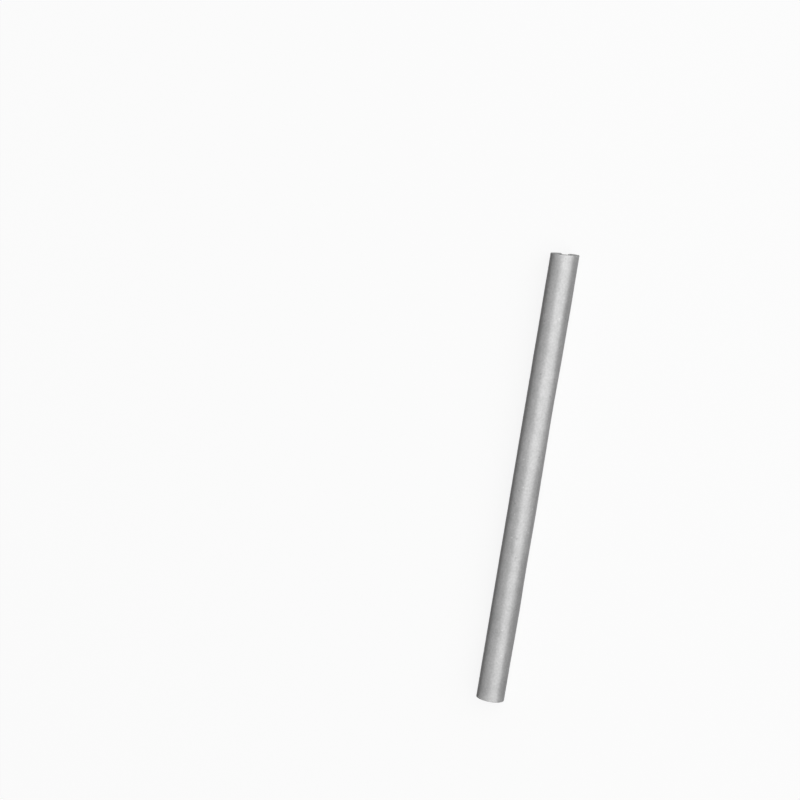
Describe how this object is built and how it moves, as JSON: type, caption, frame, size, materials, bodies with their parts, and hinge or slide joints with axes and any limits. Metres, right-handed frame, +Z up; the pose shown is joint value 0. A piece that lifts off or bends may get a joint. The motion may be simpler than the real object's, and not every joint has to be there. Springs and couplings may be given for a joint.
{
  "type": "bicycle spoke reflector",
  "caption": "Slit plastic sleeve with a retroreflective outer surface that snaps sideways over a wheel spoke and makes it visible from the side.",
  "frame": {"origin": "on the bore's axis, halfway along the sleeve", "axes": "+X along the bore and the spoke, +Z up, away from the slit, which opens downwards along -Z"},
  "size_m": [0.075, 0.0046, 0.0044],
  "materials": {
    "reflective_sleeve": "matte light grey beaded reflective surface on a bare grey plastic profile"
  },
  "bodies": {
    "root": {"reflector_sleeve": "reflective_sleeve"}
  },
  "joints": []
}
